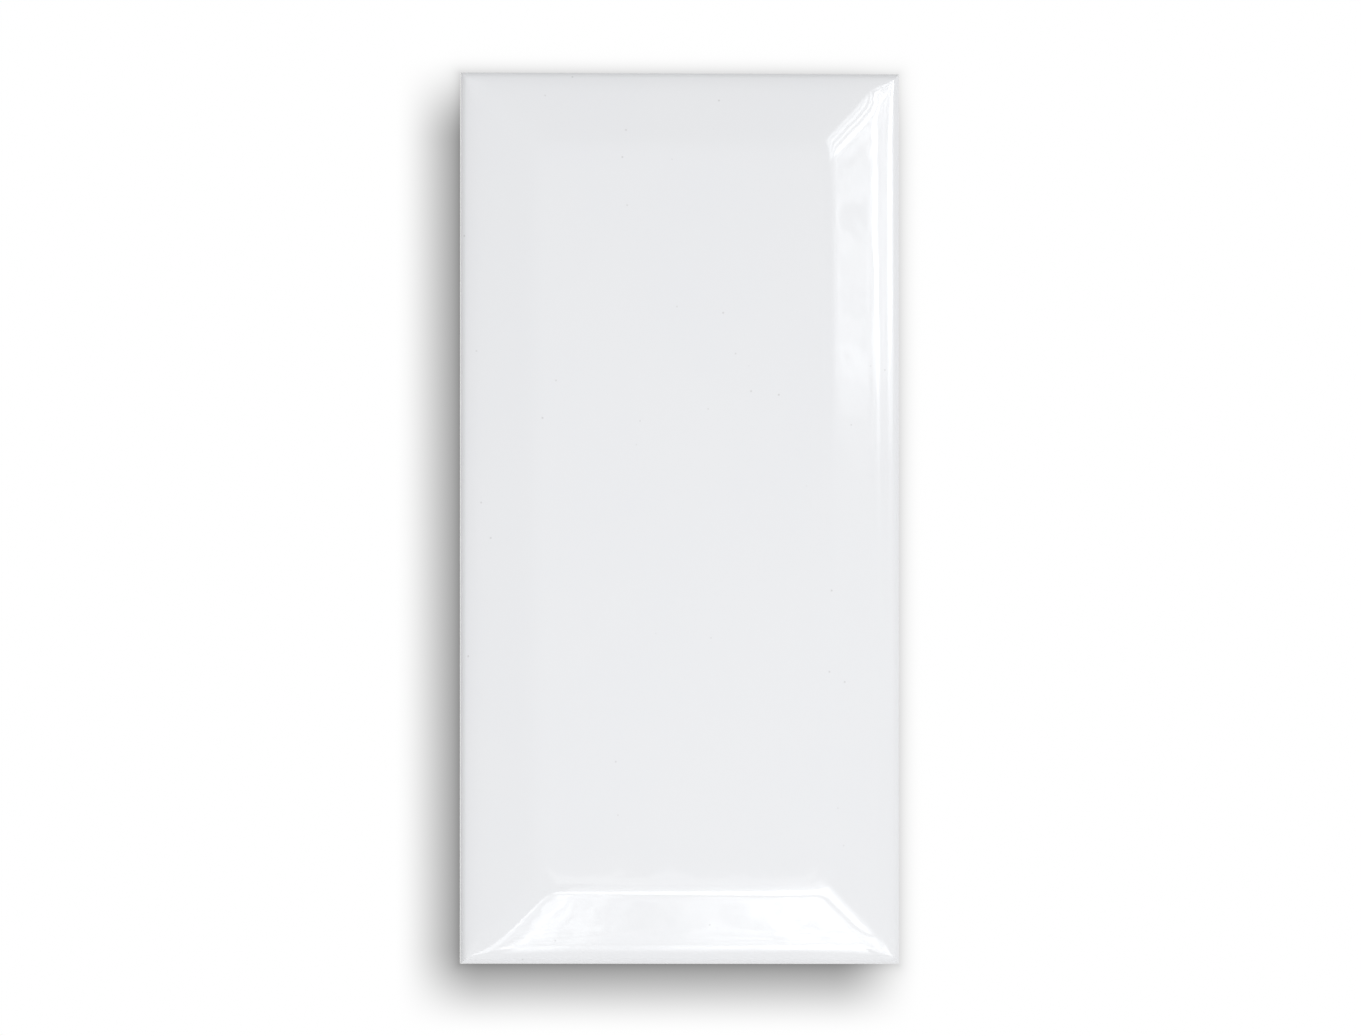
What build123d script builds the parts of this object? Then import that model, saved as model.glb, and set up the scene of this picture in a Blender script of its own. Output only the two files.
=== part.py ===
from build123d import *

import os

os.makedirs("parts", exist_ok=True)

# Bevelled wall tile, pressed from clay and fired as one piece.
# It lies on its back with the glazed face up: X across, Y along, Z up.
# The origin is the middle of the back, on the level of the keying ribs.
# Lengths are in millimetres and angles in degrees.

# Outline that the joints run along
width = 74.0
length = 150.0

# Heights, one above the other: the square edge beside the joint, the shoulder
# that rolls over it, and the bevel that climbs from there to the flat field
edge_height = 4.2
shoulder_drop = 1.6
bevel_rise = 2.2
thickness = edge_height + shoulder_drop + bevel_rise

# Sloping border round the field, with the shoulder as its outermost strip
bevel_width = 12.5
shoulder_width = 3.6
bevel_slope = bevel_rise / (bevel_width - shoulder_width)

# Soft line where the bevels meet the field and each other
crease_radius = 12.0

# Lip from the shoulder down to the square edge
lip_radius = 1.7

# Small bevel that keeps the back edge from chipping
back_bevel = 0.8

# Keying relief that the adhesive grips: shallow pockets between flat ribs
pocket_size = 13.0
pocket_depth = 0.5
pocket_corner = 1.5
pocket_draft = 30.0
rib_width = 2.2
back_rim = 5.5
pocket_pitch = pocket_size + rib_width
pocket_columns = int((width - 2 * back_rim + rib_width) // pocket_pitch)
pocket_rows = int((length - 2 * back_rim + rib_width) // pocket_pitch)

# Space of one pocket, widest at the back so that the punch draws out of the clay
with BuildPart() as pocket:
    with BuildSketch():
        RectangleRounded(pocket_size, pocket_size, pocket_corner)
    extrude(amount=pocket_depth, taper=pocket_draft)

with BuildPart() as tile:
    # Blank as thick as the middle of the tile
    with BuildSketch():
        Rectangle(width, length)
    extrude(amount=thickness)

    # Bevels, one along each side of the top, mitred at the corners
    field = tile.faces().sort_by(Axis.Z)[-1]
    bevel_drop = bevel_width * bevel_slope
    chamfer(field.edges(), length=bevel_width, length2=bevel_drop, reference=field)

    # Creases: the outline of the field and the four mitres below it
    levels = tile.edges().group_by(Axis.Z)
    fillet(levels[-1] + levels[-2], crease_radius)

    # Shoulder and lip: a section through the tile is run along its length and
    # another across its width, and only what lies inside both is left
    for plane, across, along in [(Plane.XZ, width, length), (Plane.YZ, length, width)]:
        with BuildSketch(plane) as section:
            with BuildLine():
                top = Line((0, thickness), (across / 2 - bevel_width, thickness))
                shoulder_start = (across / 2 - shoulder_width, edge_height + shoulder_drop)
                bevel = Line(top @ 1, shoulder_start)
                shoulder = TangentArc(bevel @ 1, (across / 2, edge_height), tangent=bevel % 1)
                Polyline(shoulder @ 1, (across / 2, 0), (0, 0))
                mirror(about=Plane.YZ)
            make_face()
            wall_tops = section.vertices().group_by(Axis.Y)[1]
            fillet(wall_tops, lip_radius)
        extrude(amount=along / 2, both=True, mode=Mode.INTERSECT)

    # Back edge
    back = tile.faces().sort_by(Axis.Z)[0]
    chamfer(back.edges(), back_bevel)

    # Keying relief
    with GridLocations(pocket_pitch, pocket_pitch, pocket_columns, pocket_rows):
        add(pocket.part, mode=Mode.SUBTRACT)

tile.part.label = "tile"
export_step(tile.part, "parts/tile.step")
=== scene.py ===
# %% [markdown]
# # A bevelled wall tile in white gloss glaze
#
# The object is one piece of fired clay: a flat field, four bevels that meet in mitres at the
# corners, a shoulder that rolls over into a small lip, square edges and a ribbed back. A glossy
# glaze covers the face. A plain white thing shows its shape only by what it mirrors, so this
# lesson spends its care on two matters: a mesh whose slopes are smooth and true, and lamps that
# are worth mirroring. All lengths are in metres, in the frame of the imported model.

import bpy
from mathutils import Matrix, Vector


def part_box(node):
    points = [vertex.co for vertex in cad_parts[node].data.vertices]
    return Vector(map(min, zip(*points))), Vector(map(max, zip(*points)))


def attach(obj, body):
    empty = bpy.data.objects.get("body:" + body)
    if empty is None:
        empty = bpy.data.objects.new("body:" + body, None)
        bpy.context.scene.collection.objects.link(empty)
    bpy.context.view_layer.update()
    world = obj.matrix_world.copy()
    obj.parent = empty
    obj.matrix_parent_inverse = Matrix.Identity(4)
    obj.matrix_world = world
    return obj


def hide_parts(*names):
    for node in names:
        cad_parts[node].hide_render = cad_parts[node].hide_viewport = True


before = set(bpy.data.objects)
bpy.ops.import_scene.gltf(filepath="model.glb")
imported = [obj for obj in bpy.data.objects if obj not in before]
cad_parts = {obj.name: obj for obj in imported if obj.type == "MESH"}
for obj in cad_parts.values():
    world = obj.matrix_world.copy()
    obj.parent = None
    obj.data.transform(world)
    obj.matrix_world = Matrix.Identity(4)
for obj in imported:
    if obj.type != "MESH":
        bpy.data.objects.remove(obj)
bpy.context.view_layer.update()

# %% [markdown]
# ## Sizes
#
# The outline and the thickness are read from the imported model. The rest describes the section
# through the glazed side. It is a chain of stretches, from the outline inwards, and each has a
# radius and a slope at its start: the lip, the shoulder, the flat of the bevel, the crease, and
# the level field. The glaze starts to turn a little before the die does, so two slight curves
# lead from the flat into the shoulder and into the crease. A chain of slopes is a good way to
# describe such a surface, because a mirror shows slopes and not heights. Angles are in radians.

# %% Sizes of the tile
import math

MM = 0.001
tile_low, tile_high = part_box("tile")
half_width = tile_high.x
half_length = tile_high.y
thickness = tile_high.z
print("tile box, in mm:", [round(size / MM, 2) for size in tile_high - tile_low])

bevel_width = 12.5 * MM
bevel_rise = 2.2 * MM
shoulder_width = 3.6 * MM
lip_radius = 1.7 * MM
shoulder_radius = 11.3 * MM
crease_radius = 12.0 * MM

bevel_slope = math.atan(bevel_rise / (bevel_width - shoulder_width))
lip_reach = shoulder_width - lip_radius + shoulder_radius * math.sin(bevel_slope)
lip_slope = math.asin(lip_reach / (shoulder_radius - lip_radius))
print("slope of the bevels:", round(math.degrees(bevel_slope), 1), "degrees")
print("slope where the lip meets the shoulder:", round(math.degrees(lip_slope), 1), "degrees")

# %% Section through the glazed side
upright = math.radians(90)
lip_width = lip_radius * (1 - math.sin(lip_slope))
crease_tangent = crease_radius * math.tan(bevel_slope / 2)
crease_start = bevel_width - crease_tangent * math.cos(bevel_slope)
crease_end = bevel_width + crease_tangent

lead_turn = 0.016
lead_to_shoulder = 2.1 * MM
lead_to_crease = 0.7 * MM
steeper = bevel_slope + lead_turn
flatter = bevel_slope - lead_turn
steeper_by = math.sin(steeper) - math.sin(bevel_slope)
flatter_by = math.sin(bevel_slope) - math.sin(flatter)
shoulder_end = shoulder_width - shoulder_radius * steeper_by
flat_start = shoulder_end + lead_to_shoulder
crease_from = crease_start + crease_radius * flatter_by
flat_end = crease_from - lead_to_crease
shoulder_lead_radius = lead_to_shoulder / steeper_by
crease_lead_radius = lead_to_crease / flatter_by

STRAIGHT = None
stretches = [
    (0.0, lip_radius, upright),
    (lip_width, shoulder_radius, lip_slope),
    (shoulder_end, shoulder_lead_radius, steeper),
    (flat_start, STRAIGHT, bevel_slope),
    (flat_end, crease_lead_radius, bevel_slope),
    (crease_from, crease_radius, flatter),
    (crease_end, STRAIGHT, 0.0),
]


def rise_at(inset):
    """How far the surface has climbed above the wall's top, this far in from the outline."""
    ends = [start for start, radius, slope in stretches[1:]] + [math.inf]
    climbed = 0.0
    for (start, radius, slope), end in zip(stretches, ends):
        run = min(inset, end) - start
        if run <= 0:
            break
        if radius is STRAIGHT:
            climbed += run * math.tan(slope)
        else:
            slope_there = math.asin(max(math.sin(slope) - run / radius, 0.0))
            climbed += radius * (math.cos(slope_there) - math.cos(slope))
    return climbed


wall_top = thickness - rise_at(crease_end)
print("top of the straight wall:", round(wall_top / MM, 2), "mm above the back")

# %% [markdown]
# ## The blank and its bevels
#
# The real tile is pressed in a die, and the mitred bevels come from the die's shape. In Blender
# they could be cut with a boolean, or moulded from a flat grid. Here they grow from a cube by
# repeated insets: every inset makes a ring round the top face, a little further in and a little
# higher, and the mitres come out exact because an inset keeps its corners on them. The rings
# are close together on the arcs, where the slope changes, and further apart on the flat.

# %% Blank of the tile
import bmesh
import bpy

back_bevel = 0.8 * MM
support_height = 0.3 * MM

tile_mesh = bmesh.new()
bmesh.ops.create_cube(tile_mesh, size=1.0)
blank_top = wall_top - support_height
blank_size = (2 * half_width, 2 * half_length, blank_top - back_bevel)
bmesh.ops.scale(tile_mesh, vec=blank_size, verts=tile_mesh.verts)
bmesh.ops.translate(tile_mesh, vec=(0, 0, (blank_top + back_bevel) / 2), verts=tile_mesh.verts)
top_face = max(tile_mesh.faces, key=lambda face: face.calc_center_median().z)
back_face = min(tile_mesh.faces, key=lambda face: face.calc_center_median().z)
print("blank, in mm:", [round(size / MM, 2) for size in blank_size])

# %% Rings of the glazed side
lip_rings = 7
shoulder_rings = 8
lead_rings = 3
flat_rings = 11
crease_rings = 12


def arc_insets(start, radius, first_slope, last_slope, count):
    """Insets along an arc, at equal turns of the slope."""
    turn = (first_slope - last_slope) / count
    slopes = [first_slope - turn * (i + 1) for i in range(count)]
    return [start + radius * (math.sin(first_slope) - math.sin(slope)) for slope in slopes]


flat_run = (flat_end - flat_start) / flat_rings
ring_insets = arc_insets(0.0, lip_radius, upright, lip_slope, lip_rings)
ring_insets += arc_insets(lip_width, shoulder_radius, lip_slope, steeper, shoulder_rings)
ring_insets += arc_insets(shoulder_end, shoulder_lead_radius, steeper, bevel_slope, lead_rings)
ring_insets += [flat_start + flat_run * (i + 1) for i in range(flat_rings)]
ring_insets += arc_insets(flat_end, crease_lead_radius, bevel_slope, flatter, lead_rings)
ring_insets += arc_insets(crease_from, crease_radius, flatter, 0.0, crease_rings)

bmesh.ops.inset_region(tile_mesh, faces=[top_face], thickness=0.0, depth=support_height)
inset_so_far = 0.0
for inset in ring_insets:
    step_up = rise_at(inset) - rise_at(inset_so_far)
    bmesh.ops.inset_region(
        tile_mesh,
        faces=[top_face],
        thickness=inset - inset_so_far,
        depth=step_up,
        use_even_offset=True,
    )
    inset_so_far = inset
print("rings:", len(ring_insets), "field at", round(top_face.calc_center_median().z / MM, 3), "mm")

# %% [markdown]
# ## Cuts across the rings
#
# The rings are long strips so far. The next passes bend the surface a little along its length
# as well, so the strips are cut into short cells. Subdividing all the edges that cross the
# middle line, and only those, cuts every ring and the field at once into a clean grid.

# %% Cut the rings and the field into cells
cuts_along = 239
cuts_across = 119


def edges_over_the_middle(axis, lowest):
    """Edges above a height that run from one half of the tile into the other."""
    found = []
    for edge in tile_mesh.edges:
        first, second = (vert.co for vert in edge.verts)
        if first[axis] * second[axis] < 0 and min(first.z, second.z) > lowest:
            found.append(edge)
    return found


cut_level = blank_top + support_height / 2
for axis, cuts in [(1, cuts_along), (0, cuts_across)]:
    crossing = edges_over_the_middle(axis, cut_level)
    bmesh.ops.subdivide_edges(tile_mesh, edges=crossing, cuts=cuts, use_grid_fill=True)
print("faces after the cuts:", len(tile_mesh.faces))

# %% [markdown]
# ## Soft mitres and a live surface
#
# Glaze is a thick glass. It runs, rounds every edge and never lies quite flat, and that is what
# makes a highlight on it bend and shimmer. So each point of the glazed side is moved to the
# height that the section gives for a softened distance from the outline: near a mitre the
# distances from the two sides are blended, with a tight blend for the die's own rounding and a
# weak, wide one for the way the glaze gathers. A slow noise of a few microns goes on top.
# Sculpting by hand would do it too, but a formula gives the same tile every time.

# %% Blend the mitres
from mathutils import Vector, noise

mitre_blend = 2.93 * MM
crisp_below = 0.8 * MM
soft_above = 3.4 * MM
glaze_blend = 4.5 * MM
glaze_share = 0.12


def smooth(low, high, value):
    """Rises smoothly from 0 at low to 1 at high."""
    t = min(max((value - low) / (high - low), 0.0), 1.0)
    return t * t * (3 - 2 * t)


def soft_inset(across, along):
    """Distance from the outline, rounded where the two sides are about as near."""
    nearest = min(across, along)
    apart = abs(across - along)
    softness = smooth(crisp_below, soft_above, nearest)
    tight = max(mitre_blend - apart, 0.0) ** 2 / (4 * mitre_blend)
    wide = glaze_blend * math.log(1 + math.exp(-apart / glaze_blend))
    return nearest - softness * ((1 - glaze_share) * tight + glaze_share * wide)


mitre_loss = soft_above - soft_inset(soft_above, soft_above)
print("inset lost on a mitre:", round(mitre_loss / MM, 2), "mm")

# %% Raise every point of the glazed side
slow_wave = 22.0 * MM
slow_height = 0.010 * MM
quick_wave = 7.0 * MM
quick_height = 0.0012 * MM
still_rim = 2.5 * MM
noise_start = Vector((3.1, 7.7, 1.9))

for vert in tile_mesh.verts:
    if vert.co.z < cut_level:
        continue
    across = half_width - abs(vert.co.x)
    along = half_length - abs(vert.co.y)
    inset = max(soft_inset(across, along), 0.0)
    place = Vector((vert.co.x, vert.co.y, 0.0))
    slow = noise.noise(place / slow_wave + noise_start)
    quick = noise.noise(place / quick_wave - noise_start)
    wave = slow_height * (slow - 1) + quick_height * (quick - 1)
    vert.co.z = wall_top + rise_at(inset) + wave * smooth(0.0, still_rim, min(across, along))
print("highest point:", round(max(vert.co.z for vert in tile_mesh.verts) / MM, 3), "mm")

# %% [markdown]
# ## The back
#
# Nobody sees the back of a wall tile once it is up, but the adhesive does: it keys into shallow
# pockets that the die leaves between flat ribs. A chamfer keeps the back edge from chipping.
# The pockets are a pattern, so they come from one face: it is cut into a grid of cells, each
# cell is inset by half a rib, and each mouth is inset again and sunk, which gives the draft.

# %% Chamfer and keying pockets
pocket_size = 13.0 * MM
pocket_depth = 0.5 * MM
pocket_corner = 1.5 * MM
pocket_draft = math.radians(30.0)
rib_width = 2.2 * MM
pocket_columns = 4
pocket_rows = 9
pocket_pitch = pocket_size + rib_width
cell_area = pocket_pitch**2
area_slack = 0.01
level_slack = 0.01 * MM
facing_down = -0.99

rim = half_width - back_bevel - pocket_columns * pocket_pitch / 2
for step_in, step_down in [(back_bevel, back_bevel), (rim, 0.0)]:
    bmesh.ops.inset_region(
        tile_mesh,
        faces=[back_face],
        thickness=step_in,
        depth=step_down,
        use_even_offset=True,
    )


def inside_the_rim(vert):
    """Tells whether a point of the back lies inside the flat rim."""
    return abs(vert.co.x) < half_width - rim and abs(vert.co.y) < half_length - rim


for axis, cuts in [(1, pocket_rows - 1), (0, pocket_columns - 1)]:
    crossing = [
        edge
        for edge in tile_mesh.edges
        if edge.verts[0].co[axis] * edge.verts[1].co[axis] < 0
        and all(abs(vert.co.z) < level_slack for vert in edge.verts)
        and all(inside_the_rim(vert) for vert in edge.verts)
    ]
    bmesh.ops.subdivide_edges(tile_mesh, edges=crossing, cuts=cuts, use_grid_fill=True)

cells = [
    face
    for face in tile_mesh.faces
    if abs(face.calc_area() - cell_area) < area_slack * cell_area and face.normal.z < facing_down
]
print("cells for pockets:", len(cells))
draft_run = pocket_depth * math.tan(pocket_draft)
for step_in, step_down in [(rib_width / 2, 0.0), (draft_run, -pocket_depth)]:
    bmesh.ops.inset_individual(
        tile_mesh,
        faces=cells,
        thickness=step_in,
        depth=step_down,
        use_even_offset=True,
    )

# %% Round the corners of the pockets
least_drop = 0.9 * pocket_depth
highest_end = 1.1 * pocket_depth
corner_segments = 4
round_profile = 0.5

pocket_corners = [
    edge
    for edge in tile_mesh.edges
    if abs(edge.verts[0].co.z - edge.verts[1].co.z) > least_drop
    and max(vert.co.z for vert in edge.verts) < highest_end
    and all(inside_the_rim(vert) for vert in edge.verts)
]
bmesh.ops.bevel(
    tile_mesh,
    geom=pocket_corners,
    offset=pocket_corner,
    offset_type="OFFSET",
    segments=corner_segments,
    profile=round_profile,
    affect="EDGES",
    material=-1,
)
print("rounded pocket corners:", len(pocket_corners))

# %% [markdown]
# ## From mesh to object
#
# The glazed side is shaded smooth and the pockets keep their edges: an edge is marked sharp
# where its two faces meet at more than thirty degrees. The piece replaces the imported solid in
# the picture and rides on the tile's only body.

# %% Finish the mesh and make it the shown piece
sharp_angle = math.radians(30)
for face in tile_mesh.faces:
    face.smooth = True
for edge in tile_mesh.edges:
    edge.smooth = edge.calc_face_angle(0.0) < sharp_angle

mesh = bpy.data.meshes.new("wall_tile")
tile_mesh.to_mesh(mesh)
triangles = sum(len(face.vertices) - 2 for face in mesh.polygons)
open_edges = sum(1 for edge in tile_mesh.edges if len(edge.link_faces) != 2)
tile_mesh.free()
wall_tile = bpy.data.objects.new("wall_tile", mesh)
bpy.context.scene.collection.objects.link(wall_tile)
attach(wall_tile, "root")
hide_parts("tile")
print("triangles:", triangles, "open edges:", open_edges)

# %% [markdown]
# ## Writing materials in code
#
# A material is a graph of nodes. Typing out every node and link hides the idea, so one small
# helper does both: an input that is given a socket is linked, and one that is given a plain
# value is set. Inputs that share a name are told apart by their number.

# %% Helper for nodes
def add_node(tree, kind, inputs=None, **settings):
    """Adds a node, sets its properties, and links or sets its inputs."""
    made = tree.nodes.new(kind)
    for name, value in settings.items():
        setattr(made, name, value)
    for name, value in (inputs or {}).items():
        if isinstance(value, bpy.types.NodeSocket):
            tree.links.new(value, made.inputs[name])
        else:
            made.inputs[name].default_value = value
    return made


def calculate(tree, operation, first, second=0.0, third=0.0):
    """One step of arithmetic on sockets or numbers."""
    values = {0: first, 1: second, 2: third}
    return add_node(tree, "ShaderNodeMath", values, operation=operation).outputs[0]


def spread(tree, value, low, high, to_low=0.0, to_high=1.0):
    """Maps a range onto another with soft ends."""
    limits = {"Value": value, "From Min": low, "From Max": high, "To Min": to_low, "To Max": to_high}
    made = add_node(tree, "ShaderNodeMapRange", limits, interpolation_type="SMOOTHSTEP")
    return made.outputs["Result"]


# %% [markdown]
# ## White glaze over pale clay
#
# The glaze is opaque white glass with a sharp gloss. It isn't perfect: it carries a faint
# mottle, an orange-peel ripple and a few dozen pinholes, small dark specks that a kiln leaves.
# It runs down the walls and stops in an uneven line, and below that line the pale clay is bare,
# matt and sandy. One Principled shader does both, with a mask by height between them, so that
# the finish stays in one piece when the tile is used elsewhere.

# %% Material of the tile
glaze = bpy.data.materials.new("white_glaze")
glaze.use_nodes = True
tree = glaze.node_tree
shader = tree.nodes["Principled BSDF"]
place = add_node(tree, "ShaderNodeTexCoord").outputs["Object"]
height = add_node(tree, "ShaderNodeSeparateXYZ", {"Vector": place}).outputs["Z"]


def grain(size, detail=2.0, roughness=0.5):
    """Noise whose blotches are about this many metres across."""
    values = {"Vector": place, "Scale": 1 / size, "Detail": detail, "Roughness": roughness}
    return add_node(tree, "ShaderNodeTexNoise", values).outputs["Fac"]


glaze_line = 0.9 * MM
glaze_line_wander = 0.25 * MM
wander_size = 5.0 * MM
line_softness = 0.06 * MM

lowest_line = glaze_line - glaze_line_wander
wander = grain(wander_size)
line_height = calculate(tree, "MULTIPLY_ADD", wander, 2 * glaze_line_wander, lowest_line)
above_line = calculate(tree, "SUBTRACT", height, line_height)
glazed = spread(tree, above_line, -line_softness, line_softness)
print("the glaze stops", round(glaze_line / MM, 2), "mm above the back")

# %% Pinholes
pinhole_cell = 5.0 * MM
pinhole_radius = 0.26 * MM
pinhole_core = 0.25 * pinhole_radius

cells_node = add_node(tree, "ShaderNodeTexVoronoi", {"Vector": place, "Scale": 1 / pinhole_cell})
from_pinhole = calculate(tree, "MULTIPLY", cells_node.outputs["Distance"], pinhole_cell)
pinhole = spread(tree, from_pinhole, pinhole_core, pinhole_radius, 1.0, 0.0)
print("pinholes:", round(2 * pinhole_radius / MM, 2), "mm across")

# %% Colours
def blend(tree, factor, first, second):
    """Mixes two colours, each a socket or a plain colour."""
    values = {0: factor, 6: first, 7: second}
    return add_node(tree, "ShaderNodeMix", values, data_type="RGBA").outputs[2]


glaze_cool = (0.813, 0.822, 0.842, 1)
glaze_warm = (0.818, 0.826, 0.843, 1)
pinhole_grey = (0.62, 0.62, 0.63, 1)
clay_light = (0.74, 0.69, 0.61, 1)
clay_dark = (0.60, 0.54, 0.46, 1)
pinhole_strength = 0.75
mottle_size = 14.0 * MM
mottle_limits = (0.3, 0.7)
clay_cloud_size = 9.0 * MM
clay_cloud_limits = (0.35, 0.7)

mottle = spread(tree, grain(mottle_size, detail=3.0), *mottle_limits)
glaze_colour = blend(tree, mottle, glaze_cool, glaze_warm)
speck = calculate(tree, "MULTIPLY", pinhole, pinhole_strength)
glaze_colour = blend(tree, speck, glaze_colour, pinhole_grey)
clay_cloud = spread(tree, grain(clay_cloud_size, detail=6.0, roughness=0.65), *clay_cloud_limits)
clay_colour = blend(tree, clay_cloud, clay_light, clay_dark)
colour = blend(tree, glazed, clay_colour, glaze_colour)
tree.links.new(colour, shader.inputs["Base Color"])
print("glaze:", glaze_cool[:3], "clay:", clay_light[:3])

# %% Gloss and ripple
glaze_roughness = 0.012
clay_roughness = 0.9
glass_ior = 1.5
ripple_size = 3.5 * MM
ripple_height = 0.004 * MM
sand_size = 0.35 * MM
sand_height = 0.09 * MM


def relief(size, height, detail, roughness=0.5):
    """Bumps of this size and height, in metres."""
    values = {"Height": grain(size, detail, roughness), "Strength": 1.0, "Distance": height}
    return add_node(tree, "ShaderNodeBump", values).outputs["Normal"]


smoother = glaze_roughness - clay_roughness
roughness = calculate(tree, "MULTIPLY_ADD", glazed, smoother, clay_roughness)
tree.links.new(roughness, shader.inputs["Roughness"])
shader.inputs["IOR"].default_value = glass_ior

ripple = relief(ripple_size, ripple_height, detail=1.0)
sand = relief(sand_size, sand_height, detail=4.0, roughness=0.7)
values = {0: glazed, 4: sand, 5: ripple}
normals = add_node(tree, "ShaderNodeMix", values, data_type="VECTOR")
tree.links.new(normals.outputs[1], shader.inputs["Normal"])
wall_tile.data.materials.append(glaze)
print("nodes in the glaze:", len(tree.nodes))

# %% [markdown]
# ## A white floor with a painted shadow
#
# The tile is shown on white with the shadow that a retoucher gave it: a blurred rectangle of
# its own outline, moved to the lower left, and a thin grey line of contact all round. Lamps
# can't throw such a deep shadow, because a white tile lights up the floor beside it. So the
# shadow is painted: the floor draws it with its own shader, from the outline of the tile. The
# rectangle is a product of four soft steps, and the line of contact dies away with the distance
# from the outline. Both are worked out as levels on the screen, and a power turns levels into
# light. From below the floor is clear, so that the back can be looked at.

# %% Floor
floor_reach = 4.0
floor_gap = 0.05 * MM

floor_mesh = bmesh.new()
bmesh.ops.create_grid(floor_mesh, x_segments=1, y_segments=1, size=floor_reach)
bmesh.ops.translate(floor_mesh, vec=(0, 0, -floor_gap), verts=floor_mesh.verts)
floor_data = bpy.data.meshes.new("floor")
floor_mesh.to_mesh(floor_data)
floor_mesh.free()
floor = bpy.data.objects.new("floor", floor_data)
bpy.context.scene.collection.objects.link(floor)
floor.visible_diffuse = False
floor.visible_glossy = False
floor.visible_shadow = False

# %% Painted shadow on the floor
drop_depth = 0.42
drop_shift_x = -3.56 * MM
drop_shift_y = -4.26 * MM
drop_blur = 15.3 * MM
contact_depth = 0.101
contact_reach = 0.89 * MM
contact_under_drop = 0.83
screen_power = 2.25

white_floor_painted_shadow = bpy.data.materials.new("white_floor_painted_shadow")
white_floor_painted_shadow.use_nodes = True
white_floor_painted_shadow.cycles.emission_sampling = "NONE"
tree = white_floor_painted_shadow.node_tree
tree.nodes.clear()
spot = add_node(tree, "ShaderNodeTexCoord").outputs["Object"]
spot = add_node(tree, "ShaderNodeSeparateXYZ", {"Vector": spot}).outputs


def inside(along, shift, half):
    """Is 1 inside the shifted outline and 0 outside, with both edges blurred."""
    soft = drop_blur / 2
    rise = spread(tree, along, shift - half - soft, shift - half + soft)
    fall = spread(tree, along, shift + half - soft, shift + half + soft, 1.0, 0.0)
    return calculate(tree, "MULTIPLY", rise, fall)


def beside(along, half):
    """How far a place lies outside the outline, along one axis."""
    outside = calculate(tree, "SUBTRACT", calculate(tree, "ABSOLUTE", along), half)
    return calculate(tree, "MAXIMUM", outside, 0.0)


# The drop shadow and the line of contact are a painted shadow: they darken the floor's own glow, and
# no lamp casts them.
across = inside(spot["X"], drop_shift_x, half_width)
along = inside(spot["Y"], drop_shift_y, half_length)
drop = calculate(tree, "MULTIPLY", across, along)
off_side = beside(spot["X"], half_width)
off_end = beside(spot["Y"], half_length)
off_end_squared = calculate(tree, "MULTIPLY", off_end, off_end)
gap_squared = calculate(tree, "MULTIPLY_ADD", off_side, off_side, off_end_squared)
gap = calculate(tree, "SQRT", gap_squared)
contact = calculate(tree, "EXPONENT", calculate(tree, "MULTIPLY", gap, -1 / contact_reach))
not_hidden = calculate(tree, "MULTIPLY_ADD", drop, contact_under_drop - 1.0, 1.0)
contact = calculate(tree, "MULTIPLY", contact, not_hidden)
level = calculate(tree, "MULTIPLY_ADD", drop, -drop_depth, 1.0)
level = calculate(tree, "MULTIPLY_ADD", contact, -contact_depth, level)
strength = calculate(tree, "POWER", level, screen_power)
white = add_node(tree, "ShaderNodeEmission", {"Strength": strength})
clear = add_node(tree, "ShaderNodeBsdfTransparent")
from_below = add_node(tree, "ShaderNodeNewGeometry").outputs["Backfacing"]
values = {0: from_below, 1: white.outputs[0], 2: clear.outputs[0]}
either = add_node(tree, "ShaderNodeMixShader", values)
add_node(tree, "ShaderNodeOutputMaterial", {"Surface": either.outputs[0]})
floor.data.materials.append(white_floor_painted_shadow)
print("nodes in the floor:", len(tree.nodes))

# %% [markdown]
# ## The light in the room
#
# Most of the light comes from all round, from a pale room that is darker below, as a room is
# round a table top, and darkest low down at the back left, which shades the lip on those two
# sides. One soft lamp over the front right adds the rest. It gives the four bevels their four
# shades of white, and because it is near, the tile is a little lighter at its front end. The
# camera sees the room as plain white. The glaze mirrors a white ceiling and pale walls, so that
# the bevels stand out from the field when the tile is seen from the side.

# %% World
room_light = 0.85
room_below = 0.66
lean_below = (0.50, -0.50, 0.0)
floor_in_mirror = 0.88
walls_in_mirror = 0.6
ceiling_starts = 0.75
horizon = (-0.1, 0.05)

world = bpy.data.worlds.new("pale_room")
bpy.context.scene.world = world
world.use_nodes = True
tree = world.node_tree
tree.nodes.clear()
direction = add_node(tree, "ShaderNodeTexCoord").outputs["Generated"]
values = {0: direction, 1: lean_below}
lean = add_node(tree, "ShaderNodeVectorMath", values, operation="DOT_PRODUCT").outputs["Value"]
up = add_node(tree, "ShaderNodeSeparateXYZ", {"Vector": direction}).outputs["Z"]
above_share = spread(tree, up, *horizon)
values = {0: above_share, 2: calculate(tree, "ADD", lean, room_below), 3: 1.0}
room = add_node(tree, "ShaderNodeMix", values).outputs[0]
rays = add_node(tree, "ShaderNodeLightPath").outputs
lit = calculate(tree, "MULTIPLY", room, room_light)
walls = spread(tree, up, 0.0, ceiling_starts, walls_in_mirror, 1.0)
values = {0: above_share, 2: floor_in_mirror, 3: walls}
mirrored = add_node(tree, "ShaderNodeMix", values).outputs[0]
values = {0: rays["Is Glossy Ray"], 2: lit, 3: mirrored}
strength = add_node(tree, "ShaderNodeMix", values).outputs[0]
seen = calculate(tree, "MAXIMUM", rays["Is Camera Ray"], rays["Is Transmission Ray"])
strength = calculate(tree, "MAXIMUM", strength, seen)
background = add_node(tree, "ShaderNodeBackground", {"Color": (1, 1, 1, 1), "Strength": strength})
add_node(tree, "ShaderNodeOutputWorld", {"Surface": background.outputs[0]})
print("nodes in the room:", len(tree.nodes))

# %% Soft lamp over the front end
lamp_width = 0.15
lamp_power = 0.212
lamp_place = Vector((0.055, -0.085, 0.33))

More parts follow.
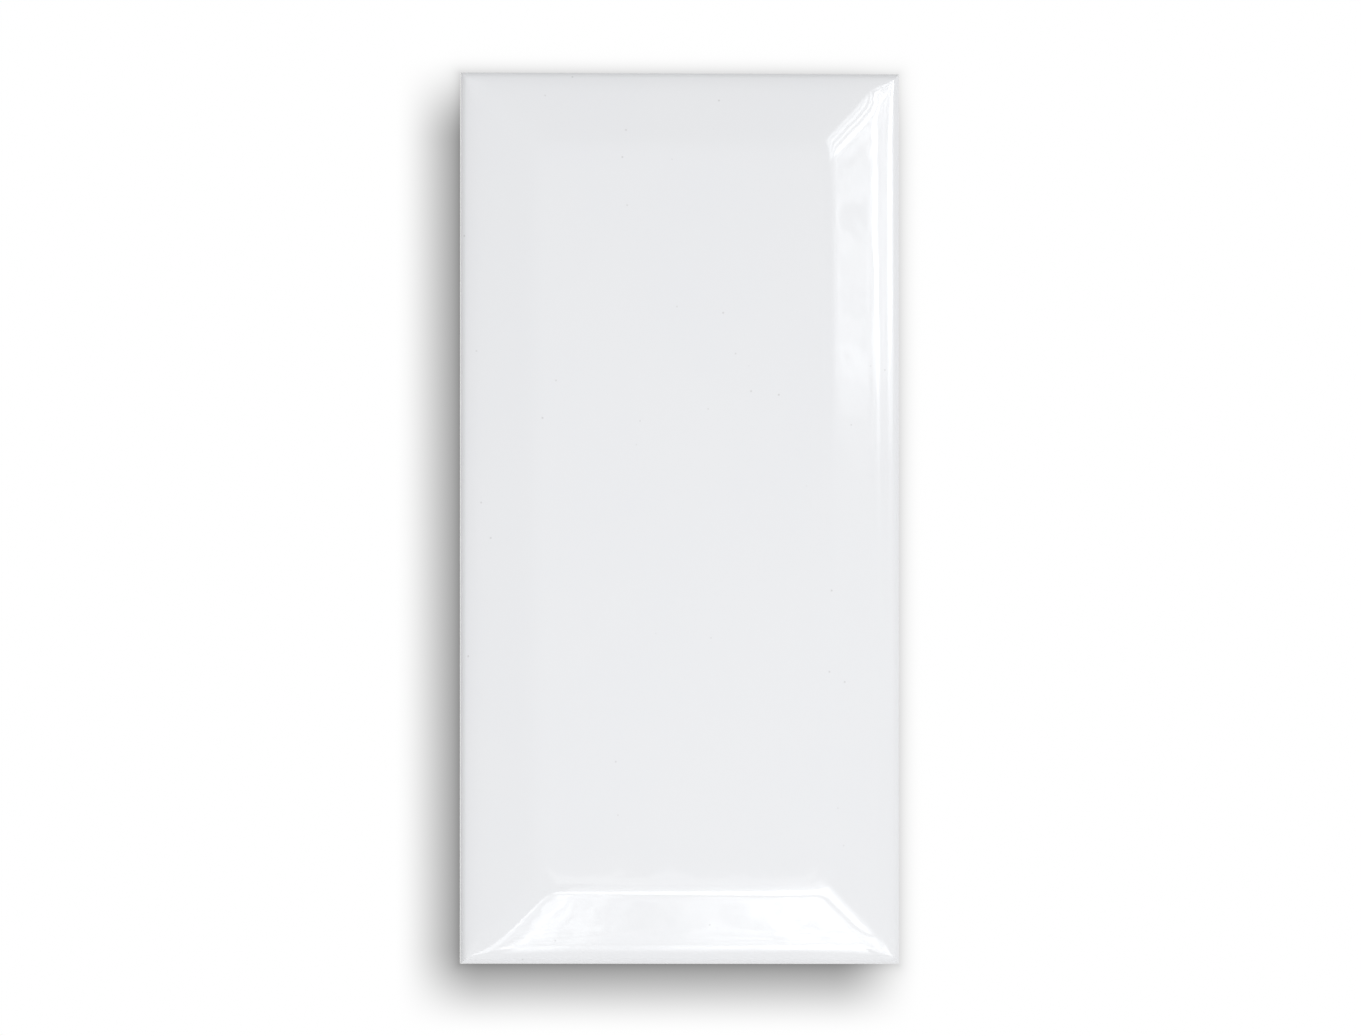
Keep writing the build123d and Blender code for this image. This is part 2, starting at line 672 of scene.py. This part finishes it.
lamp_data = bpy.data.lights.new("soft_lamp", "AREA")
lamp_data.shape = "DISK"
lamp_data.size = lamp_width
lamp_data.energy = lamp_power
soft_lamp = bpy.data.objects.new("soft_lamp", lamp_data)
soft_lamp.location = lamp_place
soft_lamp.rotation_euler = lamp_place.to_track_quat("Z", "Y").to_euler()
soft_lamp.visible_glossy = False
soft_lamp.visible_camera = False
bpy.context.scene.collection.objects.link(soft_lamp)
print("soft lamp:", round(lamp_place.length, 2), "m from the tile")

# %% [markdown]
# ## Tall windows
#
# The bright shapes on two of the bevels are mirror images of windows, and every line in them is
# an edge, a bar or a reveal of a window. A bevel mirrors a narrow slice of the room, while the
# crease, the shoulder and the mitres sweep over the rest of it, so a window that is drawn once
# shows up squeezed along every curve. Each window is an upright area lamp, one metre from the
# tile. Its shader reads the height and the place across, which may lean with the height. One
# ramp gives the brightness by height, another the share of it by the place across, and a noise
# lays thin clouds over the panes. Three masks follow: a slanting head that cuts the window off
# at the top, a bar that crosses it, and a foot that reaches further down at one place. The
# mirrored room is white already, so only what is brighter than white is added to it. The
# windows are there for the mirror image alone, and the matt part of the light leaves them out.

# %% Ramps
def ramp_of(tree, value, steps, largest):
    """A ramp through (place, level) steps, lowest place first."""
    first, last = steps[0][0], steps[-1][0]
    share = calculate(tree, "SUBTRACT", value, first)
    share = calculate(tree, "DIVIDE", share, last - first)
    ramp = add_node(tree, "ShaderNodeValToRGB", {"Fac": share})
    stops = ramp.color_ramp.elements
    while len(stops) < len(steps):
        stops.new(1.0)
    for stop, (place, level) in zip(stops, steps):
        grey = level / largest
        stop.position = (place - first) / (last - first)
        stop.color = (grey, grey, grey, 1)
    return calculate(tree, "MULTIPLY", ramp.outputs["Color"], largest)


# %% Lamp of a window
def hang_window(name, azimuth, distance, sides, heights):
    """Hangs an upright lamp that only mirrors see, and returns it with its sideways direction."""
    left, right = sides
    bottom, top = heights
    outward = Vector((math.cos(azimuth), math.sin(azimuth), 0))
    sideways = Vector((-math.sin(azimuth), math.cos(azimuth), 0))
    lamp_data = bpy.data.lights.new(name, "AREA")
    lamp_data.shape = "RECTANGLE"
    lamp_data.size = right - left
    lamp_data.size_y = top - bottom
    lamp_data.energy = math.pi * lamp_data.size * lamp_data.size_y
    lamp = bpy.data.objects.new(name, lamp_data)
    lamp.location = distance * outward + (left + right) / 2 * sideways
    lamp.location.z = (bottom + top) / 2
    lamp.rotation_euler = outward.to_track_quat("Z", "Y").to_euler()
    lamp.visible_diffuse = False
    bpy.context.scene.collection.objects.link(lamp)
    print(name, "is", round(lamp_data.size, 2), "by", round(lamp_data.size_y, 2), "m")
    return lamp_data, sideways


# %% Clouds and masks of a window
cloud_width = 0.016
cloud_height = 0.03
cloud_limits = (0.3, 0.7)
head_softness = (-0.14, 0.06)
bar_softness = (0.03, 0.10)
foot_softness = (-0.15, 0.12)


def clouds_over(tree, across, height, veil):
    """Thin clouds that vary the brightness by this share."""
    values = {
        "X": calculate(tree, "DIVIDE", across, cloud_width),
        "Y": calculate(tree, "DIVIDE", height, cloud_height),
    }
    cloud_place = add_node(tree, "ShaderNodeCombineXYZ", values).outputs["Vector"]
    values = {"Vector": cloud_place, "Scale": 1.0, "Detail": 1.0}
    clouds = add_node(tree, "ShaderNodeTexNoise", values).outputs["Fac"]
    return spread(tree, clouds, *cloud_limits, 1.0 - veil, 1.0 + veil)


def below_head(tree, across, height, left, right, low, high):
    """Is 1 below a head that climbs from low to high, and 0 above it."""
    head_height = spread(tree, across, left, right, low, high)
    over_head = calculate(tree, "SUBTRACT", height, head_height)
    return spread(tree, over_head, *head_softness, 1.0, 0.0)


def beside_bar(tree, across, height, left, right, high, low, shade):
    """Is 1 away from a bar that drops from high to low, and the shade on it."""
    bar_height = spread(tree, across, left, right, high, low)
    from_bar = calculate(tree, "ABSOLUTE", calculate(tree, "SUBTRACT", height, bar_height))
    return spread(tree, from_bar, *bar_softness, shade, 1.0)


def above_foot(tree, across, height, middle, inner, outer, low, high):
    """Is 1 above the foot, which is low about the middle and high beside it, and 0 below it."""
    aside = calculate(tree, "ABSOLUTE", calculate(tree, "SUBTRACT", across, middle))
    foot_height = spread(tree, aside, inner, outer, low, high)
    over_foot = calculate(tree, "SUBTRACT", height, foot_height)
    return spread(tree, over_foot, *foot_softness)


# %% Window
brightest = 8.0
largest_share = 2.0
sky_white = (0.96, 0.985, 1.0, 1)


def make_window(
    name, azimuth, by_height, by_place,
    distance=1.0, tilt=0.0, veil=0.28, head=None, bar=None, foot=None,
):
    """An upright window whose shader draws its panes, bars and edges."""
    heights = (by_height[0][0], by_height[-1][0])
    sides = (by_place[0][0], by_place[-1][0] + max(tilt * heights[1], 0.0))
    lamp_data, sideways = hang_window(name, azimuth, distance, sides, heights)
    lamp_data.use_nodes = True
    tree = lamp_data.node_tree
    tree.nodes.clear()
    position = add_node(tree, "ShaderNodeNewGeometry").outputs["Position"]
    height = add_node(tree, "ShaderNodeSeparateXYZ", {"Vector": position}).outputs["Z"]
    values = {0: position, 1: sideways}
    across = add_node(tree, "ShaderNodeVectorMath", values, operation="DOT_PRODUCT").outputs["Value"]
    across = calculate(tree, "MULTIPLY_ADD", height, -tilt, across)

    glow = ramp_of(tree, height, by_height, brightest)
    glow = calculate(tree, "MULTIPLY", glow, clouds_over(tree, across, height, veil))
    glow = calculate(tree, "MAXIMUM", calculate(tree, "SUBTRACT", glow, 1.0), 0.0)
    glow = calculate(tree, "MULTIPLY", glow, ramp_of(tree, across, by_place, largest_share))
    for mask, settings in [(below_head, head), (beside_bar, bar), (above_foot, foot)]:
        if settings:
            glow = calculate(tree, "MULTIPLY", glow, mask(tree, across, height, *settings))
    light = add_node(tree, "ShaderNodeEmission", {"Color": sky_white, "Strength": glow})
    add_node(tree, "ShaderNodeOutputLight", {"Surface": light.outputs[0]})


# %% [markdown]
# ## What each window shows
#
# The lists hold pairs of a height or a place, in metres, and a level. A ramp takes thirty-two
# stops at most, too few for a window with so many lines, so each window has two tiers, one above
# the other. The upper tier hangs a few millimetres further away, because two lamps in the same
# plane would hide each other.

# %% Window on the right, in two tiers
upper_tier_distance = 1.004
lower_right = [
    (0.52, 1.0), (0.56, 1.5), (0.60, 2.4), (0.65, 4.0), (0.70, 6.0), (0.74, 8.0),
    (0.88, 8.0), (0.92, 5.5), (0.98, 3.8), (1.05, 3.2), (1.12, 3.8), (1.20, 4.2),
    (1.28, 3.5), (1.42, 3.1), (1.48, 3.8), (1.51, 8.0), (1.55, 8.0), (1.565, 4.6),
    (1.585, 3.9), (1.605, 3.15), (1.625, 3.15), (1.64, 3.5), (1.66, 3.3), (1.70, 2.6),
    (1.80, 1.8), (2.00, 1.3), (2.20, 1.0),
]
lower_right_across = [
    (-0.60, 0.0), (-0.52, 0.08), (-0.50, 0.12), (-0.487, 0.3), (-0.475, 0.5), (-0.455, 1.0),
    (-0.38, 1.0), (-0.33, 1.5), (0.38, 1.5), (0.62, 0.0),
]
upper_right = [
    (1.62, 1.0), (1.66, 4.0), (1.70, 5.5), (1.77, 5.5), (1.80, 2.2), (1.84, 1.5),
    (1.875, 2.4), (1.90, 5.5), (1.935, 5.2), (1.96, 2.2), (2.00, 1.9), (2.03, 2.8),
    (2.06, 5.0), (2.12, 5.2), (2.14, 3.0), (2.165, 2.6), (2.185, 4.2), (2.235, 4.0),
    (2.27, 2.0), (2.32, 1.5), (2.36, 1.0),
]
upper_right_across = [(-0.30, 0.0), (-0.24, 1.0), (0.70, 1.0), (0.90, 0.0)]
right_azimuth = math.radians(28.6)
right_tilt = 0.023
make_window(
    "lower_right_window", right_azimuth, lower_right, lower_right_across, tilt=right_tilt
)
make_window(
    "upper_right_window", right_azimuth, upper_right, upper_right_across,
    distance=upper_tier_distance, veil=0.0,
)

# %% Window at the front, in two tiers
lower_front = [
    (1.00, 1.0), (1.07, 1.5), (1.14, 2.4), (1.21, 3.6), (1.29, 5.0), (1.45, 5.6),
    (1.54, 4.8), (1.61, 3.4), (1.68, 3.2), (1.76, 3.9), (1.88, 4.2), (1.98, 4.2),
    (2.20, 4.3), (2.28, 5.2), (2.34, 5.2), (2.36, 1.0),
]
lower_front_across = [
    (-1.06, 0.0), (-0.99, 0.9), (-0.767, 1.0), (-0.718, 1.0), (-0.706, 0.45),
    (-0.690, 0.45), (-0.682, 1.6), (-0.675, 1.5), (-0.669, 0.95), (-0.656, 0.9),
    (-0.649, 0.65), (-0.641, 0.9), (-0.635, 0.8), (-0.627, 0.48), (-0.611, 0.46), (-0.602, 0.58),
    (-0.592, 0.85), (-0.584, 1.02), (-0.570, 1.02), (-0.560, 1.35), (-0.50, 1.45),
    (-0.43, 1.1), (-0.22, 1.1), (-0.08, 1.5), (0.07, 1.5), (0.15, 1.1), (0.30, 0.45),
    (0.48, 0.12), (0.62, 0.0),
]
upper_front = [
    (2.34, 1.0), (2.36, 4.0), (2.45, 4.0), (2.60, 5.0), (2.80, 5.6), (3.00, 5.0), (3.12, 3.4),
    (3.25, 2.5), (3.60, 2.3), (4.20, 2.1), (5.20, 1.8), (7.00, 1.3), (9.00, 1.0),
]
upper_front_across = [
    (-1.06, 0.0), (-0.99, 0.9), (-0.71, 0.9), (-0.67, 1.0), (-0.63, 1.1), (-0.597, 1.35),
    (-0.57, 1.6), (-0.55, 1.8), (-0.50, 2.0), (-0.43, 1.8), (-0.22, 1.8), (-0.08, 2.0),
    (0.07, 2.0), (0.15, 1.5), (0.30, 0.7), (0.48, 0.15), (0.62, 0.0),
]
front_azimuth = math.radians(-58.0)
front_tilt = 0.09
front_head = (-0.716, -0.636, 2.42, 13.0)
front_bar = (-0.67, -0.556, 2.40, 2.12, 0.3)
front_foot = (-0.58, 0.055, 0.09, 0.9, 1.45)
make_window(
    "lower_front_window", front_azimuth, lower_front, lower_front_across,
    tilt=front_tilt, bar=front_bar, foot=front_foot,
)
make_window(
    "upper_front_window", front_azimuth, upper_front, upper_front_across,
    distance=upper_tier_distance, tilt=front_tilt, head=front_head, bar=front_bar,
)

# %% [markdown]
# ## A pale panel overhead
#
# Just inside the crease at the front end the glaze shows a weak glow. It is the image of
# something pale on the ceiling. A plain area lamp that faces down does for it, again for the
# mirror image alone.

# %% Pale ceiling panel over the front end
panel_width = 0.24
panel_length = 0.41
panel_place = (0.25, -0.229, 3.2)
panel_level = 0.9

panel_data = bpy.data.lights.new("ceiling_panel", "AREA")
panel_data.shape = "RECTANGLE"
panel_data.size = panel_width
panel_data.size_y = panel_length
panel_data.energy = panel_level * math.pi * panel_data.size * panel_data.size_y
ceiling_panel = bpy.data.objects.new("ceiling_panel", panel_data)
ceiling_panel.location = panel_place
ceiling_panel.visible_diffuse = False
bpy.context.scene.collection.objects.link(ceiling_panel)
print("ceiling panel:", round(panel_data.energy, 3), "W")

# %% [markdown]
# ## The camera
#
# The tile is seen from straight above, without perspective: a long lens, far away. It leans a
# few degrees, because the left wall and the front wall just show as thin pale lines.

# %% Camera
from mathutils import Matrix

image_width = 1361
pixels_per_metre = 5940
camera_distance = 3.0
lean_left = math.radians(4.4)
lean_front = math.radians(1.9)
outline_height = 4.0 * MM
sensor_width = 36.0
farthest_seen = 50.0

target = Vector((0, 0, outline_height))
away = Vector((-math.tan(lean_left), -math.tan(lean_front), 1)).normalized()
right = Vector((0, 1, 0)).cross(away).normalized()
up = away.cross(right)
camera_data = bpy.data.cameras.new("camera")
camera_data.sensor_width = sensor_width
camera_data.lens = sensor_width * camera_distance * pixels_per_metre / image_width
camera_data.clip_end = farthest_seen
camera = bpy.data.objects.new("camera", camera_data)
turn = Matrix((right, up, away)).transposed().to_4x4()
camera.matrix_world = Matrix.Translation(target + camera_distance * away) @ turn
bpy.context.scene.collection.objects.link(camera)
bpy.context.scene.camera = camera
bpy.context.scene.view_settings.view_transform = "Standard"
print("lens:", round(camera_data.lens), "mm")
